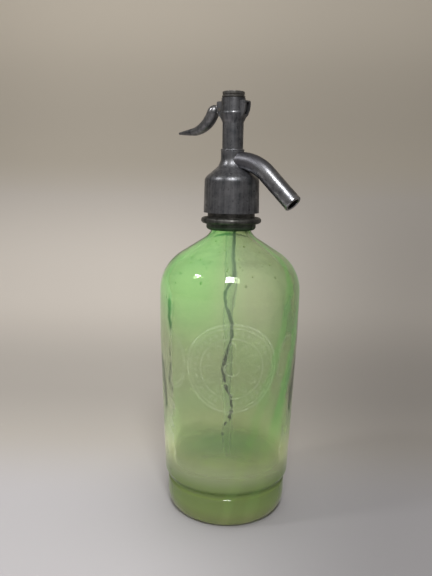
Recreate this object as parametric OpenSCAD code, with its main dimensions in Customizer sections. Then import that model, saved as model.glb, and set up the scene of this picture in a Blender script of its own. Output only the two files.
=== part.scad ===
// Soda siphon: a blown glass bottle with a cast pewter head, a press lever and a bent spout.
// Origin: centre of the resting foot, on the table. Z is the bottle's axis, the spout points to +X.

/* [Bottle] */
// Outside radius just below the shoulder
body_r = 52.2; // [48:0.2:56]
// Outside radius at the lower end of the tapered wall
body_low_r = 47.8; // [46.8:0.1:48.4]
// Height where the shoulder arc starts
shoulder_z = 170; // [160:0.2:180]
// Radius of the shoulder arc
shoulder_arc_r = 33; // [28:0.5:36]
// Slope of the cone above the shoulder arc, degrees from level
shoulder_slope = 32.5; // [28:0.5:36]
// Wall thickness of the blown body
glass_wall = 5; // [3.5:0.1:6.5]
// Radius of the solid glass foot
foot_r = 45.6; // [45.2:0.1:46.2]
// Height of the pinched groove above the foot
groove_z = 24.6; // [22:0.1:28]
// Radius of the pinched groove's hollow
groove_arc_r = 2.6; // [2:0.1:3.2]
// Width of the rounding at the foot's lower edge
foot_round = 6.6; // [5.8:0.2:7.4]
// Height of that rounding
foot_rise = 14; // [11:0.5:17]
// Radius where the hollow under the foot begins
rest_in_r = 34; // [28:0.5:36]
// Depth of the hollow under the foot
punt_depth = 9; // [6:0.5:12]
// Height of the inside floor at its edge
floor_z = 30; // [28:0.5:34]
// How far the inside floor swells up in the middle
floor_rise = 4; // [1:0.5:6]
// Outside radius of the glass neck
neck_r = 13.2; // [12.6:0.1:13.6]
// Bore radius of the glass neck
neck_bore_r = 9.2; // [8.8:0.1:9.4]
// Rounding where the shoulder turns up into the neck
neck_fillet = 14; // [12:0.5:16]
// Straight length of neck below the lip
neck_len = 10.4; // [9.5:0.1:12]
// Outside radius of the lip
lip_r = 15.2; // [14.8:0.1:15.4]
// Height of the lip
lip_h = 7.4; // [6:0.1:8]

/* [Neck ring] */
// Largest radius of the ring's round bead
bead_out_r = 22.1; // [21:0.1:23]
// Radius of the bead's own section
bead_section_r = 2.2; // [1.8:0.1:2.4]
// Radius of the lower tier where it meets the bead
tier_r = 18.1; // [17.6:0.1:18.6]
// Height of the lower tier
tier_h = 4.8; // [4.2:0.1:5.2]
// Radius of the threaded boss that goes up into the head
boss_r = 17.3; // [16.9:0.1:17.6]
// Width of the slit between the two half rings
ring_slit = 0.3; // [0.2:0.05:0.5]
// Clearance between the ring and the glass
ring_play = 0.3; // [0.2:0.05:0.4]

/* [Head] */
// Outside radius at the skirt's lower edge
skirt_r = 20.3; // [19.9:0.1:20.6]
// Outside radius at the top of the skirt
skirt_top_r = 19.9; // [19.2:0.1:19.9]
// Open gap between the bead and the skirt
skirt_gap = 3.4; // [3:0.1:4]
// Height of the skirt up to the dome
skirt_h = 22; // [20.8:0.2:22.8]
// Radial clearance of the skirt's thread on the boss
thread_play = 0.25; // [0.2:0.05:0.3]
// Rounding of the dome's shoulder
dome_round = 6; // [5:0.5:7]
// Slope of the dome, degrees from level
dome_slope = 40; // [36:1:44]
// Rounding from the dome up into the lower column
dome_fillet = 10; // [8:0.5:11]
// Radius of the lower column
low_col_r = 8.35; // [8.1:0.05:8.5]
// Height above the dome's start where the lower column ends
low_col_h = 23.4; // [23:0.2:25]
// How far the thin bead between the columns stands out
col_bead = 0.25; // [0.1:0.05:0.4]
// Radius of the upper column
column_r = 7.55; // [7.3:0.05:7.8]
// Length of the upper column
column_h = 18; // [17:0.5:20]
// Outside radius of the chamber that holds the lever's end
chamber_r = 8.6; // [8.2:0.05:8.8]
// How far the round rim below the chamber stands out
rim_out = 0.8; // [0.4:0.1:1]
// Height of the flare from the column to the chamber
flare_h = 6; // [5:0.5:7]
// Height of the chamber above the flare
chamber_h = 11; // [10.6:0.1:12]
// Bore radius of the chamber
chamber_bore_r = 6.4; // [6.2:0.05:6.6]
// Bore radius of the long column bore
column_bore_r = 5.2; // [5:0.05:5.4]
// Reach of each ear from the axis
ear_reach = 12.3; // [11.8:0.1:12.8]
// Thickness of an ear across the lever
ear_w = 7; // [6.6:0.1:8]

/* [Spout] */
// Outside radius of the spout
spout_r = 6.5; // [6.2:0.05:6.8]
// Bore radius of the spout
spout_bore_r = 4.6; // [4:0.1:4.8]
// Height of the spout's level part above the dome's start
spout_rise = 14.9; // [14.6:0.1:15.6]
// Distance from the axis to the start of the bend
spout_level = 7.2; // [6.8:0.1:7.6]
// Radius of the bend
spout_bend_r = 33; // [30:0.2:35]
// How far the spout bends down, degrees
spout_angle = 42.9; // [40:0.5:46]
// Length of the straight end
spout_straight = 29.6; // [26:0.2:32]

/* [Lever] */
// Distance from the column's axis to the lever's pin
pin_reach = 9.9; // [9.7:0.1:10]
// Radius of the lever's pin
pin_r = 1.2; // [1:0.05:1.3]
// Radius of the hub round the pin
hub_r = 2.8; // [2.5:0.1:2.9]
// Thickness of the flat tongue that runs in the slot
tongue_w = 2.8; // [2.4:0.1:3]
// Radius of the round nose that lifts the rod
nose_r = 1.7; // [1.5:0.05:1.8]
// Radius of the curl that the horn's middle follows
horn_curl_r = 22.3; // [21.7:0.1:22.9]
// Distance from the pin out to the centre of the horn's curl
horn_curl_out = 28.3; // [27.9:0.1:28.8]
// Height of the curl's centre above the pin
horn_curl_up = 7.5; // [7.1:0.1:7.9]
// Straight length at the horn's tip
horn_tip_len = 13.4; // [12:0.2:14.6]
// Half of the horn's depth where it is thickest
horn_half_depth = 4.3; // [3.9:0.1:4.7]
// Half of the horn's width where it is thickest
horn_half_width = 4.6; // [4:0.1:5.4]
// How far the lever turns when it is pressed, degrees
press_angle = 16; // [12:0.5:16]

/* [Valve and seals] */
// Radius of the sliding valve rod
rod_r = 3; // [2.8:0.05:3.1]
// Radius of the waist where the soda passes the rod
waist_r = 2.2; // [2:0.1:2.6]
// Radius of the cup that holds the valve washer
cup_r = 4.1; // [3.9:0.05:4.3]
// Radial play of the sliding pieces
slide_play = 0.1; // [0.08:0.01:0.14]
// Bore radius of the valve seat
seat_bore_r = 1.9; // [1.6:0.1:2.1]
// Wire radius of the return spring
wire_r = 0.45; // [0.4:0.01:0.5]
// Turns of the return spring
spring_turns = 6; // [5:1:6]
// Outside radius of the dip tube
tube_r = 4; // [3.8:0.1:4.2]
// Bore radius of the dip tube
tube_bore_r = 2.4; // [2:0.1:2.8]
// Gap between the dip tube's foot and the inside floor
tube_foot_gap = 4; // [3:0.5:8]
// Thickness of the rubber ring between glass and head
gasket_h = 2.5; // [2:0.1:3]

/* [Top cap] */
// Radius of the cap's lower ridge
cap_r = 8.35; // [8:0.05:8.5]
// Height of the cap above the chamber
cap_h = 4.2; // [3.8:0.1:4.8]

/* [Hidden] */
$fn = 64;
eps = 0.02;
root_play = 0.05;
solder_gap = 0.03;

// Points of an arc about [cx, cz] from angle a0 to angle a1.
function arc(cx, cz, r, a0, a1, n = 12) =
    [for (i = [0:n]) let (a = a0 + (a1 - a0) * i / n) [cx + r * cos(a), cz + r * sin(a)]];

// Bottle: the cone above the shoulder arc, its fillet into the neck, the lip and the mouth.
shoulder_turn = 90 - shoulder_slope;
shoulder_cx = body_r - shoulder_arc_r;
cone_r = shoulder_cx + shoulder_arc_r * cos(shoulder_turn);
cone_z = shoulder_z + shoulder_arc_r * sin(shoulder_turn);
neck_corner_z = cone_z + (cone_r - neck_r) * tan(shoulder_slope);
neck_start_z = neck_corner_z + neck_fillet * tan(shoulder_turn / 2);
lip_z = neck_start_z + neck_len;
mouth_z = lip_z + lip_h;
taper_top_z = shoulder_z - 8;
heel_round = 4;
heel_z = groove_z + groove_arc_r + 0.6;
groove_depth = 1.3;
inner_round = 12;
lip_round = 1.2;
taper_bow = 0.3;
taper_bow_drop = 26;

// Neck ring: the middle of its bead is a little above the start of the straight neck.
bead_z = neck_start_z + 1.2;
bead_cx = bead_out_r - bead_section_r;
tier_z = bead_z - bead_section_r - tier_h;
tier_round = 2.8;
tier_foot_r = tier_r - 2.6;
boss_top_z = mouth_z - 1.2;
boss_chamfer = 0.6;

// Head levels.
skirt_z = bead_z + bead_section_r + skirt_gap;
dome_z = skirt_z + skirt_h;
ceiling_z = mouth_z + gasket_h;
dome_turn = 90 - dome_slope;
dome_corner_z = dome_z + dome_round * tan(dome_turn / 2);
col_corner_z = dome_corner_z + (skirt_top_r - low_col_r) * tan(dome_slope);
dome_fillet_z = col_corner_z + dome_fillet * tan(dome_turn / 2);
low_col_top_z = dome_z + low_col_h;
bead_half_h = 0.9;
bead_arc_r = col_bead + 0.6;
flare_z = low_col_top_z + column_h;
flare_arc_r = 3.2;
rim_round = 2;
rim_drop = 2.9;
rim_turn = acos((rim_round - rim_out) / rim_round);
chamber_z = flare_z + flare_h;
head_top_z = chamber_z + chamber_h;
chamber_floor_z = flare_z + 1.6;
nipple_core_h = 14;
hinge_up = 3.5;
pin_z = chamber_z + hinge_up;
slot_half_h = hub_r + 0.9;
slot_w = tongue_w + 0.4;
ear_top_z = head_top_z - 1.8;
ear_round = 1.2;
ear_low_rise = 3.6;
spout_z = dome_z + spout_rise;

// Valve levels, from the shelf up.
seat_shelf_z = spout_z - 14;
seat_h = 2.7;
seat_rim_h = 1.6;
seat_rim_r = seat_bore_r + 1.1;
valve_z = seat_shelf_z + seat_h + seat_rim_h;
washer_r = cup_r - 0.8;
washer_h = 4.2;
washer_proud = 1.4;
cup_z = valve_z + washer_proud;
cup_h = 4.4;
packing_head_z = spout_z + spout_bore_r + 4.4;
packing_head_h = 5;
packing_groove_z = packing_head_z + 1.4;
packing_groove_h = 2.2;
packing_core_r = column_bore_r - 1.9;
packing_fit = 0.05;
spring_z = packing_head_z + packing_head_h;
bush_spigot_h = 3;
bush_flange_h = 1.6;
bush_z = chamber_floor_z - bush_spigot_h;
spring_len = bush_z - spring_z;
spring_mean_r = column_bore_r - wire_r - 0.5;
window_w = tongue_w + 0.3;
window_half_h = nose_r + 0.15;
rod_top_z = pin_z + window_half_h + 1.5;
nose_rise = pin_reach * sin(press_angle);

// Dip tube, its grommet and its nut.
socket_r = tube_r + 1.6;
socket_top_z = ceiling_z + 5.4;
grommet_h = 5.6;
nipple_r = neck_bore_r - 0.6;
nipple_z = mouth_z - 3;
nut_flange_h = 2;
nut_play = 0.12;
tube_top_z = socket_top_z - 0.4;
tube_foot_z = floor_z + floor_rise + tube_foot_gap;
way_r = 3;

// Cap: the hollow in its plug leaves room for the rod's top at the end of the stroke.
cap_plug_h = 2.2;
cap_washer_h = 0.6;
cap_z = head_top_z + cap_washer_h;
cap_hollow_r = rod_r + 1.1;
cap_hollow_top_z = rod_top_z + nose_rise + 1;
cap_ridge_h = 1.2;
cap_groove_h = 0.6;
cap_upper_r = cap_r - 0.4;

// Rounding of the foot's lower edge, taller than it is wide.
function foot_edge() = [for (a = [-90:9:0])
    [foot_r - foot_round + foot_round * cos(a), foot_rise + foot_rise * sin(a)]];

function bottle_outline() = concat(
    [[0, punt_depth]],
    arc(rest_in_r - punt_depth, 0, punt_depth, 90, 8, 8),
    [[rest_in_r + 0.4, 0]],
    foot_edge(),
    arc(foot_r - groove_depth + groove_arc_r, groove_z, groove_arc_r, 232, 128, 8),
    arc(body_low_r - heel_round, heel_z + heel_round, heel_round, -52, 0, 6),
    [[body_r - taper_bow, taper_top_z - taper_bow_drop]],
    arc(shoulder_cx, shoulder_z, shoulder_arc_r, -6, shoulder_turn, 18),
    arc(neck_r + neck_fillet, neck_start_z, neck_fillet, 180 + shoulder_turn, 180, 8),
    [[neck_r, lip_z]],
    [[lip_r - lip_round, lip_z]],
    arc(lip_r - lip_round, lip_z + lip_round, lip_round, -90, 0, 5),
    arc(lip_r - lip_round, mouth_z - lip_round, lip_round, 0, 90, 5),
    [[0, mouth_z]]
);

function bottle_hollow() = concat(
    [[0, floor_z + floor_rise]],
    arc(body_low_r - glass_wall - inner_round, floor_z + inner_round, inner_round, -82, 0, 8),
    arc(shoulder_cx, shoulder_z, shoulder_arc_r - glass_wall, 0, shoulder_turn, 16),
    arc(neck_bore_r + neck_fillet + glass_wall, neck_start_z, neck_fillet + glass_wall,
        180 + shoulder_turn - 4, 180, 8),
    [[neck_bore_r, mouth_z + 1]],
    [[0, mouth_z + 1]]
);

module glass_bottle() {
    color([0.56, 0.68, 0.46])
    difference() {
        rotate_extrude() polygon(bottle_outline());
        rotate_extrude() polygon(bottle_hollow());
    }
}

// The whole ring before it is cut into two halves: lower tier, round bead and threaded boss.
module neck_ring_whole() {
    difference() {
        union() {
            rotate_extrude()
                polygon(concat(
                    [[neck_r, tier_z]],
                    arc(tier_foot_r, tier_z + tier_round, tier_round, -90, -15, 8),
                    [[tier_r, bead_z], [boss_r, bead_z], [boss_r, boss_top_z - boss_chamfer],
                     [boss_r - boss_chamfer, boss_top_z], [neck_r, boss_top_z]]
                ));
            translate([0, 0, bead_z])
                rotate_extrude() translate([bead_cx, 0]) circle(bead_section_r, $fn = 48);
            translate([0, 0, bead_z - bead_section_r])
                cylinder(h = 2 * bead_section_r, r = bead_cx);
        }
        translate([0, 0, tier_z - 1])
            cylinder(h = boss_top_z - tier_z + 2, r = neck_r + ring_play);
        // opens downwards to follow the glass shoulder
        rotate_extrude()
            polygon(concat(
                [[0, tier_z - 1], [neck_r + neck_fillet, tier_z - 1]],
                arc(neck_r + neck_fillet, neck_start_z, neck_fillet - ring_play, 240, 180, 8),
                [[0, neck_start_z]]
            ));
        // step under the lip of the glass
        translate([0, 0, lip_z])
            cylinder(h = boss_top_z - lip_z + 1, r = lip_r + ring_play);
    }
}

module ring_half(side) {
    color([0.36, 0.35, 0.34])
    intersection() {
        neck_ring_whole();
        translate([-bead_out_r - 1, side > 0 ? ring_slit / 2 : -bead_out_r - 1 - ring_slit / 2,
                   tier_z - 1])
            cube([2 * bead_out_r + 2, bead_out_r + 1, boss_top_z - tier_z + 2]);
    }
}

module neck_ring_front() {
    ring_half(-1);
}

module neck_ring_back() {
    ring_half(1);
}

module neck_gasket() {
    color([0.16, 0.15, 0.15])
    translate([0, 0, mouth_z])
        difference() {
            cylinder(h = gasket_h, r = lip_r + 0.2);
            translate([0, 0, -1]) cylinder(h = gasket_h + 2, r = nipple_r + 0.15);
        }
}

function head_outline() = concat(
    [[0, skirt_z], [skirt_r, skirt_z]],
    arc(skirt_top_r - dome_round, dome_z, dome_round, 0, dome_turn, 10),
    arc(low_col_r + dome_fillet, dome_fillet_z, dome_fillet, 180 + dome_turn, 180, 12),
    [[low_col_r, low_col_top_z - 2 * bead_half_h]],
    arc(low_col_r + col_bead - bead_arc_r, low_col_top_z - bead_half_h, bead_arc_r, -50, 50, 6),
    [[column_r, low_col_top_z + 0.2]],
    [[column_r, flare_z]],
    arc(column_r + flare_arc_r, flare_z, flare_arc_r, 180, 148, 4),
    arc(chamber_r + rim_out - rim_round, pin_z - rim_drop, rim_round, -40, rim_turn, 8),
    [[chamber_r, head_top_z], [0, head_top_z]]
);

// Side outline of the pair of ears; grow moves its edge outwards.
module ear_outline(grow = 0) {
    reach = ear_reach + grow;
    low_z = flare_z - grow;
    polygon(concat(
        [[1 - column_r - grow, low_z], [-chamber_r - grow, low_z + ear_low_rise],
         [-reach + 2, pin_z - 4.4], [-reach + 0.5, pin_z - 1], [-reach, pin_z + 2]],
        arc(-reach + ear_round, ear_top_z + grow - ear_round, ear_round, 180, 90, 3),
        arc(reach - ear_round, ear_top_z + grow - ear_round, ear_round, 90, 0, 3),
        [[reach, pin_z + 2], [reach - 0.5, pin_z - 1], [reach - 2, pin_z - 4.4],
         [chamber_r + grow, low_z + ear_low_rise], [column_r + grow - 1, low_z]]
    ));
}

// Stands a drawing of X and Z up and gives it the width w, centred on Y.
module across(w) {
    rotate([90, 0, 0]) translate([0, 0, -w / 2]) linear_extrude(w) children();
}

module head_body() {
    color([0.33, 0.32, 0.31])
    difference() {
        union() {
            rotate_extrude() polygon(head_outline());
            across(ear_w) ear_outline();
            translate([0, 0, nipple_z])
                cylinder(h = skirt_z - nipple_z + nipple_core_h, r = nipple_r);
        }
        // threaded inside of the skirt, round the nipple
        difference() {
            translate([0, 0, skirt_z - 1])
                cylinder(h = ceiling_z - skirt_z + 1, r = boss_r + thread_play);
            translate([0, 0, nipple_z])
                cylinder(h = ceiling_z - nipple_z + 1, r = nipple_r);
        }
        translate([0, 0, nipple_z - 1])
            cylinder(h = socket_top_z - nipple_z + 1, r = socket_r);
        translate([0, 0, socket_top_z - 1])
            cylinder(h = seat_shelf_z - socket_top_z + 2, r = way_r);
        translate([0, 0, seat_shelf_z])
            cylinder(h = chamber_floor_z - seat_shelf_z + 1, r = column_bore_r);
        translate([0, 0, chamber_floor_z])
            cylinder(h = head_top_z - chamber_floor_z + 1, r = chamber_bore_r);
        // slot for the lever, through both ears
        translate([-ear_reach - 1, -slot_w / 2, pin_z - slot_half_h])
            cube([2 * ear_reach + 2, slot_w, 2 * slot_half_h + 0.6]);
        translate([-pin_reach, ear_w, pin_z]) rotate([90, 0, 0])
            cylinder(h = 2 * ear_w, r = pin_r + 0.01);
        translate([0, 0, spout_z]) rotate([0, 90, 0])
            cylinder(h = low_col_r + 2, r = spout_bore_r + 1 + eps);
    }
}

// A round bar along the spout's bend and its straight end, with section radius r.
module spout_route(r, overrun = 0) {
    translate([spout_level, 0, spout_z - spout_bend_r]) rotate([0, spout_angle, 0]) {
        rotate([90, 0, 0])
            rotate_extrude(angle = spout_angle, start = 90)
                translate([spout_bend_r, 0]) circle(r, $fn = 48);
        translate([0, 0, spout_bend_r]) rotate([0, 90, 0])
            cylinder(h = spout_straight + overrun, r = r);
    }
}

module spout() {
    color([0.42, 0.42, 0.43])
    difference() {
        union() {
            difference() {
                union() {
                    spout_route(spout_r);
                    // level root, a little slimmer so that it ends inside the bend
                    translate([low_col_r / 2, 0, spout_z]) rotate([0, 90, 0])
                        cylinder(h = spout_level - low_col_r / 2 + 1, r = spout_r - root_play);
                }
                // fitted round the column and the dome
                rotate_extrude()
                    polygon([for (p = head_outline()) [p[0] > 0 ? p[0] + solder_gap : 0, p[1]]]);
            }
            // spigot in the column's wall
            translate([column_bore_r + 0.3, 0, spout_z]) rotate([0, 90, 0])
                cylinder(h = spout_level - column_bore_r + 2, r = spout_bore_r + 1);
        }
        spout_route(spout_bore_r, 1);
        translate([0, 0, spout_z]) rotate([0, 90, 0])
            cylinder(h = spout_level + 0.5, r = spout_bore_r - eps);
    }
}

module dip_tube() {
    color([0.72, 0.84, 0.78])
    translate([0, 0, tube_foot_z])
        difference() {
            cylinder(h = tube_top_z - tube_foot_z, r = tube_r);
            translate([0, 0, -1])
                cylinder(h = tube_top_z - tube_foot_z + 2, r = tube_bore_r);
        }
}

module tube_grommet() {
    color([0.2, 0.18, 0.17])
    translate([0, 0, tube_top_z - grommet_h])
        difference() {
            cylinder(h = grommet_h, r = socket_r - 0.1);
            translate([0, 0, -1]) cylinder(h = grommet_h + 2, r = tube_r + 0.05);
        }
}

module tube_nut() {
    top_z = tube_top_z - grommet_h;
    color([0.62, 0.5, 0.28])
    difference() {
        union() {
            translate([0, 0, nipple_z]) cylinder(h = top_z - nipple_z, r = socket_r - nut_play);
            translate([0, 0, nipple_z - nut_flange_h])
                cylinder(h = nut_flange_h, r = nipple_r - 0.2);
        }
        translate([0, 0, nipple_z - nut_flange_h - 1])
            cylinder(h = top_z - nipple_z + nut_flange_h + 2, r = tube_r + 0.15);
    }
}

module valve_seat() {
    color([0.66, 0.54, 0.3])
    translate([0, 0, seat_shelf_z])
        difference() {
            union() {
                cylinder(h = seat_h, r = column_bore_r - 0.05);
                translate([0, 0, seat_h])
                    cylinder(h = seat_rim_h, r1 = seat_rim_r + 0.6, r2 = seat_rim_r - 0.4);
            }
            translate([0, 0, -1]) cylinder(h = seat_h + seat_rim_h + 2, r = seat_bore_r);
        }
}

module piston_rod() {
    color([0.66, 0.54, 0.3])
    difference() {
        union() {
            translate([0, 0, cup_z]) cylinder(h = cup_h, r = cup_r);
            translate([0, 0, cup_z]) cylinder(h = packing_head_z - cup_z + 1, r = waist_r);
            translate([0, 0, packing_head_z])
                cylinder(h = packing_head_h, r = column_bore_r - slide_play);
            translate([0, 0, packing_head_z]) cylinder(h = rod_top_z - packing_head_z, r = rod_r);
        }
        // pocket for the valve washer
        translate([0, 0, cup_z - 1]) cylinder(h = washer_h - washer_proud + 1, r = washer_r + eps);
        // groove for the packing washer
        translate([0, 0, packing_groove_z])
            difference() {
                cylinder(h = packing_groove_h, r = column_bore_r + 1);
                translate([0, 0, -1]) cylinder(h = packing_groove_h + 2, r = packing_core_r);
            }
        // window for the lever's nose
        translate([-rod_r - 1, -window_w / 2, pin_z - window_half_h])
            cube([2 * rod_r + 2, window_w, 2 * window_half_h]);
    }
}

module valve_washer() {
    color([0.2, 0.18, 0.17])
    translate([0, 0, valve_z]) cylinder(h = washer_h, r = washer_r);
}

module packing_washer() {
    color([0.45, 0.3, 0.2])
    translate([0, 0, packing_groove_z])
        difference() {
            cylinder(h = packing_groove_h, r = column_bore_r - packing_fit);
            translate([0, 0, -1])
                cylinder(h = packing_groove_h + 2, r = packing_core_r + eps);
        }
}

// Return spring: one unbroken wire, its turns set out by formula between its two ends.
spring_rings = 8;
spring_sides = 6;
spring_steps = spring_turns * spring_rings;
spring_rise = spring_len - 2 * wire_r - 2 * eps;
function coil_point(t) = [
    spring_mean_r * cos(360 * spring_turns * t),
    spring_mean_r * sin(360 * spring_turns * t),
    spring_z + eps + wire_r + spring_rise * t
];
function coil_section(t) =
    let (a = 360 * spring_turns * t, c = coil_point(t))
    [for (k = [0:spring_sides - 1])
        let (b = 360 * k / spring_sides)
        [c[0] + wire_r * cos(b) * cos(a), c[1] + wire_r * cos(b) * sin(a), c[2] + wire_r * sin(b)]];
function turn_gaps(m = 24) = [for (i = [0:m * (spring_turns - 1)])
    norm(coil_point((i + m) / (m * spring_turns)) - coil_point(i / (m * spring_turns))) - 2 * wire_r];
echo(least_gap_between_spring_turns = min(turn_gaps()));

// Joins rings of points, each with the same number, into one closed skin.
module skin(rings) {
    n = len(rings[0]);
    m = len(rings);
    points = [for (ring = rings) for (p = ring) p];
    sides = [for (j = [0:m - 2]) for (k = [0:n - 1]) let (a = j * n + k, b = j * n + (k + 1) % n)
        each [[a, b, a + n], [b, b + n, a + n]]];
    bottom = [for (k = [n - 1:-1:0]) k];
    top = [for (k = [0:n - 1]) (m - 1) * n + k];
    polyhedron(points, concat([bottom], sides, [top]));
}

module return_spring() {
    color([0.6, 0.58, 0.52])
        skin([for (i = [0:spring_steps]) coil_section(i / spring_steps)]);
}

module guide_bush() {
    color([0.62, 0.5, 0.28])
    difference() {
        union() {
            translate([0, 0, bush_z]) cylinder(h = bush_spigot_h + 1, r = column_bore_r - 0.05);
            translate([0, 0, chamber_floor_z]) cylinder(h = bush_flange_h, r = chamber_bore_r - 0.1);
        }
        translate([0, 0, bush_z - 1])
            cylinder(h = bush_spigot_h + bush_flange_h + 2, r = rod_r + slide_play);
    }
}

// Horn of the lever: its middle follows an arc round horn_centre and ends in a straight tip.
horn_centre = [-pin_reach - horn_curl_out, pin_z + horn_curl_up];
horn_start = -9.5;
horn_end = -86;
horn_swell = 4.5;
horn_full = 11;
horn_taper = 0.78;
horn_arc_len = horn_curl_r * (horn_start - horn_end) * PI / 180;
horn_len = horn_arc_len + horn_tip_len;
horn_play = 0.35;
arm_len = 6;
arm_top = hub_r - 0.2;
arm_low = 1.6;
finger_root = 2;
finger_half = 0.9;
horn_rings = 30;
horn_sides = 16;
function horn_turn(s) = horn_start - min(s, horn_arc_len) / horn_curl_r * 180 / PI;
function horn_middle(s) =
    let (a = horn_turn(s), over = max(0, s - horn_arc_len))
    horn_centre + horn_curl_r * [cos(a), sin(a)] + over * [sin(a), -cos(a)];
// Swells from a round top to full size, then tapers to the tip.
function horn_share(s) =
    let (top = min(1, s / horn_swell), fall = max(0, s - horn_full) / (horn_len - horn_full))
    sqrt(max(0.01, 1 - pow(1 - top, 2))) * (1 - horn_taper * pow(fall, horn_taper));
function horn_section(s) =
    let (a = horn_turn(s), c = horn_middle(s), q = horn_share(s))
    [for (k = [0:horn_sides - 1])
        let (b = 360 * k / horn_sides, d = horn_half_depth * q * cos(b))
        [c[0] + d * cos(a), horn_half_width * q * sin(b), c[1] + d * sin(a)]];

module about_pin(turn) {
    translate([-pin_reach, 0, pin_z]) rotate([0, turn, 0]) translate([pin_reach, 0, -pin_z])
        children();
}

module lever() {
    color([0.3, 0.3, 0.3])
    difference() {
        union() {
            difference() {
                skin([for (i = [0:horn_rings]) horn_section(horn_len * pow(i / horn_rings, 1.25))]);
                // clear of the ears through the whole stroke
                for (turn = [0, press_angle / 2, press_angle])
                    about_pin(turn) across(3 * horn_half_width) ear_outline(horn_play);
            }
            across(tongue_w) {
                translate([-pin_reach, pin_z]) circle(hub_r);
                // arm that carries the horn
                polygon([[-pin_reach, pin_z + arm_top], [-pin_reach - arm_len, pin_z + arm_top],
                         [-pin_reach - arm_len, pin_z - arm_low], [-pin_reach, pin_z - hub_r + 0.4]]);
                // finger that reaches into the rod's window
                polygon([[-pin_reach, pin_z + finger_root], [-rod_r - 1, pin_z + finger_half],
                         [0, pin_z + finger_half], [0, pin_z - finger_half],
                         [-rod_r - 1, pin_z - finger_half], [-pin_reach, pin_z - finger_root]]);
                translate([0, pin_z]) circle(nose_r);
            }
        }
        translate([-pin_reach, ear_w, pin_z]) rotate([90, 0, 0])
            cylinder(h = 2 * ear_w, r = pin_r + 0.05);
    }
}

module lever_pin() {
    color([0.5, 0.5, 0.5])
    translate([-pin_reach, ear_w / 2, pin_z]) rotate([90, 0, 0]) cylinder(h = ear_w, r = pin_r);
}

module cap_washer() {
    color([0.2, 0.18, 0.17])
    translate([0, 0, head_top_z])
        difference() {
            cylinder(h = cap_washer_h, r = cap_upper_r);
            translate([0, 0, -1]) cylinder(h = cap_washer_h + 2, r = chamber_bore_r);
        }
}

module top_cap() {
    color([0.38, 0.34, 0.31])
    difference() {
        union() {
            rotate_extrude()
                polygon(concat(
                    [[0, cap_z], [cap_r - 0.2, cap_z], [cap_r, cap_z + 0.2],
                     [cap_r, cap_z + cap_ridge_h - 0.3], [cap_r - 0.3, cap_z + cap_ridge_h],
                     [cap_upper_r - 0.4, cap_z + cap_ridge_h],
                     [cap_upper_r - 0.4, cap_z + cap_ridge_h + cap_groove_h],
                     [cap_upper_r, cap_z + cap_ridge_h + cap_groove_h + 0.2],
                     [cap_upper_r, cap_z + cap_h - 0.8]],
                    arc(cap_upper_r - 0.6, cap_z + cap_h - 0.8, 0.6, 0, 80, 4),
                    [[0, cap_z + cap_h]]
                ));
            translate([0, 0, cap_z - cap_plug_h - cap_washer_h])
                cylinder(h = cap_plug_h + cap_washer_h + 1, r = chamber_bore_r - 0.1);
        }
        translate([0, 0, cap_z - cap_plug_h - cap_washer_h - 1])
            cylinder(h = cap_hollow_top_z - cap_z + cap_plug_h + cap_washer_h + 1, r = cap_hollow_r);
    }
}

glass_bottle();
neck_ring_front();
neck_ring_back();
neck_gasket();
head_body();
spout();
dip_tube();
tube_grommet();
tube_nut();
valve_seat();
piston_rod();
valve_washer();
packing_washer();
return_spring();
guide_bush();
lever();
lever_pin();
cap_washer();
top_cap();
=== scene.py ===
"""Soda siphon: blown green glass bottle, cast pewter head, horn lever and plated spout."""

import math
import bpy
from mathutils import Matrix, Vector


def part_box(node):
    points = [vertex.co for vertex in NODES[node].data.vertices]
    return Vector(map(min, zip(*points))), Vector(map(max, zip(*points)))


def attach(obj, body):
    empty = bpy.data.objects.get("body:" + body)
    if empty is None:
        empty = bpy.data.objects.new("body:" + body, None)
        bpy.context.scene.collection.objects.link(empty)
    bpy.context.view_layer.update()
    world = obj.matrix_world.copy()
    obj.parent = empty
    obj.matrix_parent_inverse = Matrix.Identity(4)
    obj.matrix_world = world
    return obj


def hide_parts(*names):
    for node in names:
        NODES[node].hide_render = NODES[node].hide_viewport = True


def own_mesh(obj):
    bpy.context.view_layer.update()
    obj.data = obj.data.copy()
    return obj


bl_info = {
    "name": "Soda siphon",
    "version": (1, 0, 0),
    "blender": (4, 5, 0),
    "location": "3D View > Sidebar > Siphon",
    "description": "Dresses the soda siphon's frame with glass, pewter and plated metal",
    "category": "Object",
}

import bmesh
import bpy
import numpy as np
from bpy.props import FloatProperty, FloatVectorProperty, IntProperty
from mathutils import Matrix, Vector

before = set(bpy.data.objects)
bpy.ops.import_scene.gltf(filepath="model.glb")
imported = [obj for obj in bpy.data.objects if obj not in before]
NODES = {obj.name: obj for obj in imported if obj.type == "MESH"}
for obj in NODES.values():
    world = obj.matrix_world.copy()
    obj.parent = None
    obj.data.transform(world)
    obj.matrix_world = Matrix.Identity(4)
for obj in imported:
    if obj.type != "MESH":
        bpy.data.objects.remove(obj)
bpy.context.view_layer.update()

MM = 0.001
# the side of the bottle that faces the viewer, in degrees from -Y towards +X
FRONT = 34.6
# radius at which the wall chart is unrolled, in millimetres
CHART_R = 50.0
# marks a profile's outer points; an inner point has its share of the wall's wander instead
OUTSIDE = -1.0
# the kinds of node that are used most, and the setting for a soft change between two values
MATH, RANGE, MIX = "ShaderNodeMath", "ShaderNodeMapRange", "ShaderNodeMix"
NOISE, JOIN, SPLIT = "ShaderNodeTexNoise", "ShaderNodeCombineXYZ", "ShaderNodeSeparateXYZ"
SOFT = {"interpolation_type": "SMOOTHSTEP"}


def linear(hex_colour, alpha=1.0):
    """Turns an sRGB hex colour into the linear one that the shaders use."""
    out = []
    for k in (0, 2, 4):
        c = int(hex_colour[k : k + 2], 16) / 255
        out.append(c / 12.92 if c <= 0.04045 else ((c + 0.055) / 1.055) ** 2.4)
    return (*out, alpha)


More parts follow.
